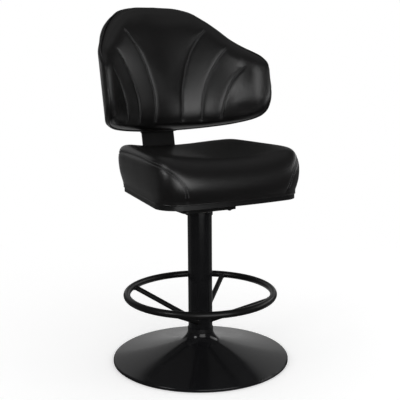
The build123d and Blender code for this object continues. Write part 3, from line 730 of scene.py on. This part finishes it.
def buildRearPad():
    s = rearPad
    runs = tipRuns(s)[:, None]
    low, high = backEdges(runs)
    low, high = low + s["edgeInset"], high - s["edgeInset"]
    contact = backRadius + layerDepth(runs) + s["gap"]
    board = contact + s["boardThickness"]
    fade = np.cos(math.pi / 2 * np.minimum(1, np.abs(runs) / s["fade"])) ** s["fadePower"]
    outer = board + s["edgeDepth"] + (s["depth"] - s["edgeDepth"]) * fade
    outer = contact + (outer - contact) * tipThin(runs, s)
    centre, reach = (low + high) / 2, (high - low) / 2
    rounding = np.minimum((outer - contact) * s["roundMost"], reach * s["roundOfHeight"])
    rounding = np.minimum(s["round"], rounding)
    across = np.linspace(1, -1, s["facePoints"])[None, :]
    turn = (np.arange(1, s["turnPoints"] + 1) / (s["turnPoints"] + 1) * math.pi / 2)[None, :]
    flat = np.linspace(-1, 1, s["outerPoints"])[None, :]
    inBoard = smoothStep(0, s["boardEdge"], reach * (1 - np.abs(across)) - s["boardInset"] + s["edgeInset"])
    inBoard = inBoard * (1 - smoothStep(
        s["boardEnd"] - s["boardEdge"], s["boardEnd"] + s["boardEdge"] / 2, np.abs(runs)))
    turnReaches = contact + (outer - contact) * np.sin(turn)
    turnIn = rounding * (1 - np.cos(turn))
    parts = [  # the face on the board, the lower turn, the outer side and the upper turn
        (centre + reach * across, contact + (board - contact) * inBoard),
        (low + turnIn, turnReaches),
        (centre + (reach - rounding) * flat, outer + 0 * flat),
        ((high - turnIn)[:, ::-1], turnReaches[:, ::-1]),
    ]
    heights, reaches = (np.concatenate([part[k] for part in parts], axis=1) for k in (0, 1))
    columns, ring = heights.shape
    points = backPoint(runs, heights, reaches).reshape(-1, 3)
    arm = points - np.array(backFrame["origin"])
    out, up = arm @ backOut, arm @ backUp
    inPocket = 1 - smoothStep(s["pocketHalf"], s["pocketHalf"] + s["pocketEdge"], np.abs(points[:, 0]))
    inPocket = inPocket * (1 - smoothStep(s["pocketTop"], s["pocketTop"] + s["pocketEdge"], up))
    points += backOut * (np.maximum(0, s["pocketFar"] - out) * inPocket)[:, None]
    piece = ringPiece("backrestRear", points, ring)
    held = np.zeros((columns, ring))
    held[:, :s["facePoints"] + 1] = 1
    held[:, -1] = 1
    return piece, np.concatenate([np.maximum(held.ravel(), inPocket > s["pocketHeld"]), [1, 1]])


def finishRearPad():
    s = rearPad
    piece, held = buildRearPad()
    run = backPlace(readPoints(piece.data))[0]
    swell(piece, held, s["cap"] * np.cos(math.pi / 2 * np.minimum(1, np.abs(run) / s["fade"])), s)
    makeFiner(piece, 1)
    writeShade(piece.data, "seamNear", np.zeros(len(piece.data.vertices)))
    piece.data.materials.append(finishes["backVinyl"])
    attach(piece, "seat")
    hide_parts("backrest_rear_pad")
    print("backrest rear pad:", len(piece.data.polygons), "faces")


finishRearPad()

backWelt = {"radius": 0.0022, "step": 0.004, "inset": 0.0022, "runStep": 0.006, "straightEnd": 0.29,
            "tipStart": 0.292, "tip": 0.3115, "tipPoints": 7}
backRidge = {"gap": 0.0029, "radius": 0.0013, "step": 0.003, "lift": 0.0003, "lookFrom": 0.07}
backStitch = {"pitch": 0.0052, "length": 0.0040, "thickness": 0.0014, "lift": 0.0013}


def seamHits(line):  # points of the padded face that lie under a line of the flat pattern
    hits = []
    for run, height in line[1:-1]:
        start = backPoint(run, height, backRadius - backRidge["lookFrom"])
        found, spot, normal, face = backrestFront.ray_cast(Vector(start), Vector(outwards(run)))
        if found:
            hits.append(np.array(spot))
    return np.array(hits)


def finishBackSeams():
    w, r, s = backWelt, backRidge, backStitch
    straight = np.arange(0, w["straightEnd"], w["runStep"])
    runs = mirroredRuns(np.concatenate([straight, np.linspace(w["tipStart"], w["tip"], w["tipPoints"])]))
    low, high = backEdges(runs)
    reach = backRadius + layerDepth(runs)
    top = backPoint(runs, high - w["inset"], reach)
    bottom = backPoint(runs, low + w["inset"], reach)[::-1]
    welt = growAlong("backrestWelt", [np.vstack([top, bottom])], True, beadTree, finishes["backVinyl"], w)
    lines = [seamHits(line) for line in seamLines()]
    ridgeRows, stitchRows = (
        [row for line in lines for row in seamRows(backrestFront, line, r["gap"], lift)]
        for lift in (r["lift"], s["lift"]))
    ridges = growAlong("backrestRidges", ridgeRows, False, beadTree, finishes["backVinyl"], r)
    stitches = growAlong("backrestStitches", stitchRows, False, stitchTree, finishes["thread"], s)
    for piece in (welt, ridges, stitches):
        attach(piece, "seat")
    print("backrest seams:", len(ridgeRows), "rows")


finishBackSeams()


# Seat cushion: a box cushion on the trapezoid pan, with a rolled front and dished top

seatPad = {
    "front": -0.234, "rear": 0.219, "bottom": 0.49835,
    "frontHalf": 0.2345, "rearHalf": 0.176, "frontPower": 5.2, "rearPower": 7.5,
    "height": 0.109, "rearRise": 0.006, "bolster": 0.017, "bolsterInset": 0.031, "dish": 0.005,
    "rearFall": 0.5, "fallFrom": 0.4, "placeMost": 0.999, "sideMost": 1.1, "facingFrom": 0.15, "footPower": 2.5,
    "outlinePoints": 1500, "rimPoints": 1600, "rimBand": 0.0002,
    "sideRoll": 0.026, "frontRoll": 0.060, "sideShoulder": 0.092, "frontShoulder": 0.052,
    "columnsAcross": 72, "columnsAlong": 70, "sideRows": 14, "rollRows": 14,
    "planRounds": 60, "softRounds": 12, "cornerRounds": 60,
    "shrink": 0.002, "cap": 0.006, "pressure": 0.8, "bending": 1.0, "evenRounds": 12,
    "seamSink": 0.0012, "seamWidth": 0.008, "fold": 0.0010, "foldWidth": 0.0026,
}
seatMiddle = (seatPad["front"] + seatPad["rear"]) / 2
seatHalfDepth = (seatPad["rear"] - seatPad["front"]) / 2
seatSeam = np.array([  # left side seam, from the rear along the side, round the front corner and down
    (-170, 206, 592), (-176, 152, 602), (-184, 80, 607), (-193, 0, 607), (-201, -70, 606), (-206, -125, 603),
    (-203, -165, 598), (-193, -195, 592), (-182, -209, 583), (-171, -220, 569), (-162, -225, 556),
    (-155, -227, 542), (-153, -226, 524), (-151, -221, 506),
]) * mm


def seatHalf(place):
    return (seatPad["frontHalf"] * (1 - place) + seatPad["rearHalf"] * (1 + place)) / 2


def seatTop(x, y):
    s = seatPad
    place = np.clip((y - seatMiddle) / seatHalfDepth, -s["placeMost"], s["placeMost"])
    side = np.clip(np.abs(x) / (seatHalf(place) - s["bolsterInset"]), 0, s["sideMost"])
    height = s["height"] + s["rearRise"] * (1 + place) / 2
    raised = (s["bolster"] + s["dish"]) * (1 - s["rearFall"] * smoothStep(s["fallFrom"], 1.0, place))
    return s["bottom"] + height - s["dish"] + raised * side**2


def seatOutline():  # dense closed line round the widest level, from the middle of the front, and its normals
    angle = np.linspace(0, math.pi, seatPad["outlinePoints"])
    power = np.where(angle < math.pi / 2, seatPad["frontPower"], seatPad["rearPower"])
    place = -np.sign(np.cos(angle)) * np.abs(np.cos(angle)) ** (2 / power)
    wide = np.abs(np.sin(angle)) ** (2 / power)
    right = np.stack([seatHalf(place) * wide, seatMiddle + place * seatHalfDepth], axis=1)
    left = right[-2:0:-1] * np.array([-1, 1])
    line = np.vstack([right, left])
    ahead = np.roll(line, -1, axis=0) - np.roll(line, 1, axis=0)
    normals = np.stack([ahead[:, 1], -ahead[:, 0]], axis=1)
    normals /= np.linalg.norm(normals, axis=1)[:, None]
    corners = [np.argmin(np.abs(angle - a)) for a in (math.pi / 4, 3 * math.pi / 4)]
    return line, normals, corners


def seatRing():  # outline points and normals, evenly set between the four corners
    line, normals, (frontCorner, rearCorner) = seatOutline()
    total = len(line)
    along = lengthAlong(np.vstack([line, line[:1]]))
    corners = [total - frontCorner, total + frontCorner, total + rearCorner]
    corners += [2 * total - rearCorner, 2 * total - frontCorner]
    counts = [seatPad["columnsAcross"], seatPad["columnsAlong"]] * 2
    double = np.concatenate([along[:-1], along])
    double[total:] += along[-1]
    at = np.concatenate([
        np.linspace(double[a], double[b], n, endpoint=False) for a, b, n in zip(corners, corners[1:], counts)])
    points = readOff(at, double, np.vstack([line, line, line[:1]]))
    turned = readOff(at, double, np.vstack([normals, normals, normals[:1]]))
    return points, turned / np.linalg.norm(turned, axis=1)[:, None]


def coonsGrid(ring, across, along):  # fills a closed ring of points with a grid
    front = ring[:across + 1]
    right = ring[across:across + along + 1]
    rear = ring[across + along:2 * across + along + 1][::-1]
    left = np.vstack([ring[2 * across + along:], ring[:1]])[::-1]
    u = np.linspace(0, 1, across + 1)[:, None, None]
    v = np.linspace(0, 1, along + 1)[None, :, None]
    grid = (1 - v) * front[:, None] + v * rear[:, None] + (1 - u) * left[None] + u * right[None]
    corners = (1 - u) * (1 - v) * front[0] + u * (1 - v) * front[-1] + (1 - u) * v * rear[0] + u * v * rear[-1]
    return grid - corners


def gridFaces(across, along, ringIndex, inner):
    spot = np.empty((across + 1, along + 1), int)
    ring = list(ringIndex)
    spot[:, 0] = ring[:across + 1]
    spot[across, :] = ring[across:across + along + 1]
    spot[:, along] = ring[across + along:2 * across + along + 1][::-1]
    spot[0, :] = (ring[2 * across + along:] + ring[:1])[::-1]
    spot[1:across, 1:along] = inner + np.arange((across - 1) * (along - 1)).reshape(across - 1, along - 1)
    return [
        (spot[i, j], spot[i + 1, j], spot[i + 1, j + 1], spot[i, j + 1])
        for i in range(across) for j in range(along)]


def panOutline():  # closed line round the top of the pan, evenly set
    points = readPoints(cadNodes["seat_pan"].data)
    rim = points[points[:, 2] > points[:, 2].max() - seatPad["rimBand"]][:, :2]
    hull = rim[convex_hull_2d([tuple(p) for p in rim])]
    closed = np.vstack([hull, hull[:1]])
    along = lengthAlong(closed)
    return readOff(np.linspace(0, along[-1], seatPad["rimPoints"], endpoint=False), along, closed)


def buildSeatPad():
    s = seatPad
    across, along = s["columnsAcross"], s["columnsAlong"]
    ring, normals = seatRing()
    count = len(ring)
    facing = smoothStep(s["facingFrom"], 1.0, -normals[:, 1])
    for step in range(s["cornerRounds"]):  # the side's edge runs into the front's roll without a hump
        facing = (np.roll(facing, 1) + 2 * facing + np.roll(facing, -1)) / 4
    rim = panOutline()
    foot = np.array([rim[np.argmin(((rim - p) ** 2).sum(axis=1))] for p in ring])
    roll = s["sideRoll"] + (s["frontRoll"] - s["sideRoll"]) * facing
    shoulder = s["bottom"] + s["sideShoulder"] + (s["frontShoulder"] - s["sideShoulder"]) * facing
    rows = []
    for k in range(s["sideRows"] + 1):
        rise = k / s["sideRows"]
        plan = ring + (foot - ring) * (1 - rise) ** s["footPower"]
        rows.append(np.column_stack([plan, s["bottom"] + (shoulder - s["bottom"]) * rise]))
    for k in range(1, s["rollRows"] + 1):
        turn = k / s["rollRows"] * math.pi / 2
        plan = ring - normals * (roll * (1 - math.cos(turn)))[:, None]
        crown = seatTop(plan[:, 0], plan[:, 1])
        rows.append(np.column_stack([plan, shoulder + (crown - shoulder) * math.sin(turn)]))
    top = coonsGrid(rows[-1][:, :2], across, along)[1:-1, 1:-1].reshape(-1, 2)
    top = np.column_stack([top, seatTop(top[:, 0], top[:, 1])])
    floor = coonsGrid(rows[0], across, along)[1:-1, 1:-1].reshape(-1, 3)
    points = np.vstack(rows + [top, floor])
    faces = []
    for r in range(len(rows) - 1):
        for i in range(count):
            j = (i + 1) % count
            faces.append((r * count + i, r * count + j, (r + 1) * count + j, (r + 1) * count + i))
    last = (len(rows) - 1) * count
    faces += gridFaces(across, along, range(last, last + count), last + count)
    faces += gridFaces(across, along, range(count), last + count + len(top))
    piece = makePiece("seatCushion", points, faces)
    fixed = np.ones(len(points), bool)
    fixed[last + count:last + count + len(top)] = False
    plan = evenPoints(piece.data, points[:, :2], fixed, s["planRounds"])
    points[~fixed] = np.column_stack([plan, seatTop(plan[:, 0], plan[:, 1])])[~fixed]
    held = np.zeros(len(points))
    held[:2 * count] = 1
    held[last + count + len(top):] = 1
    writePoints(piece.data, evenPoints(piece.data, points, held > 0.5, s["softRounds"]))
    return piece, held


seatSeamLay = {"points": 90, "turns": 4, "steps": 12}


def seatSeamLines(piece):  # the route laid on the cover and drawn taut
    line = throughPoints(seatSeam, seatSeamLay["points"])
    for turn in range(seatSeamLay["turns"]):
        line = onSurface(piece, line, 0)
        for step in range(seatSeamLay["steps"]):
            line[1:-1] = (line[:-2] + 2 * line[1:-1] + line[2:]) / 4
    line = onSurface(piece, line, 0)
    return [line, line * np.array([-1, 1, 1])]


seatStitch = {"gap": 0.0036, "pitch": 0.0064, "length": 0.0048, "thickness": 0.0014, "lift": 0.0003}
seatPiping = {"radius": 0.0021, "step": 0.004, "height": 0.5003, "offset": 0.0006, "pointStep": 4}


def finishSeatPad():
    s = seatPad
    piece, held = buildSeatPad()
    points = readPoints(piece.data)
    points -= readNormals(piece.data) * (s["shrink"] * (1 - held))[:, None]
    writePoints(piece.data, points)
    swell(piece, held, np.full(len(points), s["cap"]), s)
    makeFiner(piece, 1)
    points = readPoints(piece.data)
    seams = seatSeamLines(piece)
    near = np.min([lineDistance(points, line)[0] for line in seams], axis=0)
    fold = np.exp(-((near / s["foldWidth"]) ** 2))
    sink = s["fold"] * fold + s["seamSink"] * np.exp(-((near / s["seamWidth"]) ** 2))
    writePoints(piece.data, points - readNormals(piece.data) * sink[:, None])
    # seamNear carries the fold mask that the vinyl turns into painted shade, and into duller gloss
    writeShade(piece.data, "seamNear", fold)
    piece.data.materials.append(finishes["seatVinyl"])
    rows = []
    for line in seams:
        rows += seamRows(piece, line, seatStitch["gap"], seatStitch["lift"])
    stitches = growAlong("seatStitches", rows, False, stitchTree, finishes["thread"], seatStitch)
    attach(piece, "seat")
    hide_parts("seat_cushion")
    rim = panOutline()
    ahead = np.roll(rim, -1, axis=0) - np.roll(rim, 1, axis=0)
    outer = np.stack([ahead[:, 1], -ahead[:, 0]], axis=1) / np.linalg.norm(ahead, axis=1)[:, None]
    outer *= np.sign((outer * rim).sum())
    hem = np.column_stack([rim + outer * seatPiping["offset"], np.full(len(rim), seatPiping["height"])])
    hem = hem[::seatPiping["pointStep"]]
    piping = growAlong("seatPiping", [hem], True, beadTree, finishes["seatVinyl"], seatPiping)
    for trim in (stitches, piping):
        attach(trim, "seat")
    print("seat cushion:", len(piece.data.polygons), "faces")


finishSeatPad()


# Weld beads where the four spokes meet the column and the foot ring

welds = {
    "columnRadius": 0.035, "ringRadius": 0.212, "ringHeight": 0.197, "barRadius": 0.010, "spokeRadius": 0.0075,
    "rootHeight": 0.120, "angles": (42, 132, 222, 312),
    "loopPoints": 40, "rootReach": (-0.012, 0.02), "ringReach": (0, -0.03), "reachSteps": 161,
    "radius": 0.0021, "ripple": 0.0016, "rippleScale": 260, "step": 0.0025,
}


def fromColumn(line):
    return np.hypot(line[:, 0], line[:, 1]) - welds["columnRadius"]


def fromRing(line):
    flat = np.hypot(line[:, 0], line[:, 1])
    return np.hypot(flat - welds["ringRadius"], line[:, 2] - welds["ringHeight"]) - welds["barRadius"]


def buildWelds():
    s = welds
    loops = []
    around = np.linspace(0, 2 * math.pi, s["loopPoints"], endpoint=False)
    up = np.array([0, 0, 1.0])
    for angle in s["angles"]:
        out = np.array([math.cos(math.radians(angle)), math.sin(math.radians(angle)), 0])
        side = np.cross(up, out)
        start = out * s["columnRadius"] + up * s["rootHeight"]
        end = out * s["ringRadius"] + up * s["ringHeight"]
        way = (end - start) / np.linalg.norm(end - start)
        over = np.cross(side, way)
        rim = s["spokeRadius"] * (np.cos(around)[:, None] * side + np.sin(around)[:, None] * over)
        for centre, reach, clearance in ((start, s["rootReach"], fromColumn), (end, s["ringReach"], fromRing)):
            steps = np.linspace(*reach, s["reachSteps"])
            loop = []
            for offset in rim:  # along the spoke's skin to the point where it leaves the other tube
                line = centre + offset + steps[:, None] * way
                loop.append(line[np.argmax(clearance(line) > 0)])
            loops.append(np.array(loop))
    beads = growAlong("spokeWelds", loops, True, beadTree, finishes["satinBlack"], s)
    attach(beads, "base")
    print("spoke welds:", len(loops))


buildWelds()


# Floor, light and camera

viewPoint = {
    "place": (-1.02463, -1.89216, 0.83905), "heading": (0.4762, 0.8794), "pitchDegrees": 9.743,
    "rollDegrees": -0.419, "sensor": 36, "lens": 69.09, "shiftX": 0.0012,
}
stageLook = {
    "floorReach": 14.0, "floorDrop": 0.0004, "floorPaint": (0.9, 0.9, 0.9), "floorLift": 0.30,
    "shadowNear": 0.5, "shadowFar": 1.7, "worldFill": 0.65, "mirroredWorld": 0.05,
    "mirroredFloor": [  # how bright the floor is in reflections, from the front round to behind
        (0.0, 0.03), (0.5, 0.05), (0.6, 0.16), (0.75, 0.1), (0.93, 0.1), (0.99, 0.4)],
}


def buildFloor():  # keeps the shadow near the stool, and turns plain white further off
    s = stageLook
    corners = [(-1, -1), (1, -1), (1, 1), (-1, 1)]
    mesh = bpy.data.meshes.new("floor")
    mesh.from_pydata(
        [(x * s["floorReach"], y * s["floorReach"], -s["floorDrop"]) for x, y in corners], [], [(0, 1, 2, 3)])
    floor = bpy.data.objects.new("floor", mesh)
    scene.collection.objects.link(floor)
    material, tree, shader = newFinish("paleFloor")
    tree.nodes.remove(shader)
    place = addNode(tree, "ShaderNodeTexCoord")
    away = addNode(tree, "ShaderNodeVectorMath", operation="LENGTH")
    shadow = {"From Min": s["shadowNear"], "From Max": s["shadowFar"]}
    far = addNode(tree, "ShaderNodeMapRange", shadow, interpolation_type="SMOOTHSTEP")
    light = addNode(tree, "ShaderNodeLightPath")
    shown = addNode(tree, "ShaderNodeMath", operation="MAXIMUM")
    lift = spread(tree, far.outputs["Result"], s["floorLift"], 1.0)
    power = addNode(tree, "ShaderNodeMath", operation="MULTIPLY")
    paint = tint(tree, far.outputs["Result"], s["floorPaint"], (0, 0, 0))
    matt = addNode(tree, "ShaderNodeBsdfDiffuse")
    glow = addNode(tree, "ShaderNodeEmission")
    both = addNode(tree, "ShaderNodeAddShader")
    mirrored = addNode(tree, "ShaderNodeEmission")
    either = addNode(tree, "ShaderNodeMixShader")
    aside = addNode(tree, "ShaderNodeVectorMath", operation="NORMALIZE")
    behind = addNode(tree, "ShaderNodeVectorMath", {1: (*viewPoint["heading"], 0)}, operation="DOT_PRODUCT")
    share = spread(tree, behind.outputs["Value"], 0, 1)
    share.node.inputs["From Min"].default_value = -1
    ramp = addNode(tree, "ShaderNodeValToRGB")
    for stop, level in s["mirroredFloor"][1:-1]:
        ramp.color_ramp.elements.new(stop)
    for element, (stop, level) in zip(ramp.color_ramp.elements, s["mirroredFloor"]):
        element.position, element.color = stop, (level, level, level, 1)
    tree.links.new(share, ramp.inputs["Fac"])
    tree.links.new(lift, power.inputs[1])
    tree.links.new(paint, matt.inputs["Color"])
    joinNodes(tree, [
        (place, "Object", aside, 0), (aside, "Vector", behind, 0), (ramp, "Color", mirrored, "Color"),
        (place, "Object", away, 0), (away, "Value", far, "Value"), (light, "Is Camera Ray", shown, 0),
        (light, "Is Transmission Ray", shown, 1), (shown, "Value", power, 0),
        (power, "Value", glow, "Strength"), (matt, "BSDF", both, 0), (glow, "Emission", both, 1),
        (light, "Is Glossy Ray", either, 0), (both, "Shader", either, 1), (mirrored, "Emission", either, 2),
        (either, "Shader", tree.nodes["Material Output"], "Surface"),
    ])
    mesh.materials.append(material)


def buildWorld():  # white to the eye, a plain fill on the object, and dim in reflections
    world = bpy.data.worlds.new("studio")
    scene.world = world
    world.use_nodes = True
    tree = world.node_tree
    tree.nodes.clear()
    output = addNode(tree, "ShaderNodeOutputWorld")
    light = addNode(tree, "ShaderNodeLightPath")
    plain, mirrored, white = (
        addNode(tree, "ShaderNodeBackground", {"Color": (1, 1, 1, 1), "Strength": strength})
        for strength in (stageLook["worldFill"], stageLook["mirroredWorld"], 1))
    shown = addNode(tree, "ShaderNodeMath", operation="MAXIMUM")
    first = addNode(tree, "ShaderNodeMixShader")
    second = addNode(tree, "ShaderNodeMixShader")
    joinNodes(tree, [
        (light, "Is Glossy Ray", first, 0), (plain, "Background", first, 1),
        (mirrored, "Background", first, 2), (light, "Is Camera Ray", shown, 0),
        (light, "Is Transmission Ray", shown, 1), (shown, "Value", second, 0), (first, "Shader", second, 1),
        (white, "Background", second, 2), (second, "Shader", output, "Surface"),
    ])


softBoxes = {  # place, aimed at, width, height, watts
    "leftBox": ((-2.3, -0.68, 1.4), (0, 0, 0.85), 0.7, 0.75, 7.0),
    "rightBox": ((2.4, -0.1, 1.2), (0, 0, 0.85), 2.4, 0.6, 6.5),
    "frontBox": ((-0.44, -2.5, 0.78), (0, 0, 0.75), 2.15, 1.5, 18),
    "backBox": ((1.14, 2.11, 0.36), (0, 0, 0.3), 2.2, 0.72, 2.2),
    "backLeftBox": ((-0.21, 2.44, 1.2), (0, 0, 0.5), 1.9, 1.0, 1.65),
    "backRightBox": ((1.86, 1.6, 1.2), (0, 0, 0.5), 0.75, 1.0, 0.7),
    "topBox": ((0.1, 0.3, 3.2), (0, 0, 0.5), 3.0, 3.0, 3),
}


def buildLights():
    for name, (spot, aim, width, height, watts) in softBoxes.items():
        lamp = bpy.data.lights.new(name, "AREA")
        lamp.shape, lamp.size, lamp.size_y, lamp.energy = "RECTANGLE", width, height, watts
        box = bpy.data.objects.new(name, lamp)
        box.visible_camera = False
        box.location = spot
        box.rotation_euler = (Vector(aim) - Vector(spot)).to_track_quat("-Z", "Y").to_euler()
        scene.collection.objects.link(box)


def buildCamera():
    v = viewPoint
    heading = Vector((*v["heading"], 0)).normalized()
    pitch, roll = math.radians(v["pitchDegrees"]), math.radians(v["rollDegrees"])
    forward = heading * math.cos(pitch) - Vector((0, 0, math.sin(pitch)))
    right = Vector((heading.y, -heading.x, 0))
    up = right.cross(forward)
    rightTurned = right * math.cos(roll) + up * math.sin(roll)
    upTurned = up * math.cos(roll) - right * math.sin(roll)
    lens = bpy.data.cameras.new("photoView")
    lens.sensor_width, lens.lens, lens.shift_x = v["sensor"], v["lens"], v["shiftX"]
    camera = bpy.data.objects.new("photoView", lens)
    turned = Matrix((rightTurned, upTurned, -forward)).transposed().to_4x4()
    camera.matrix_world = Matrix.Translation(v["place"]) @ turned
    scene.collection.objects.link(camera)
    scene.camera = camera


buildFloor()
buildWorld()
buildLights()
buildCamera()
scene.view_settings.view_transform = "Standard"
print("stage set")
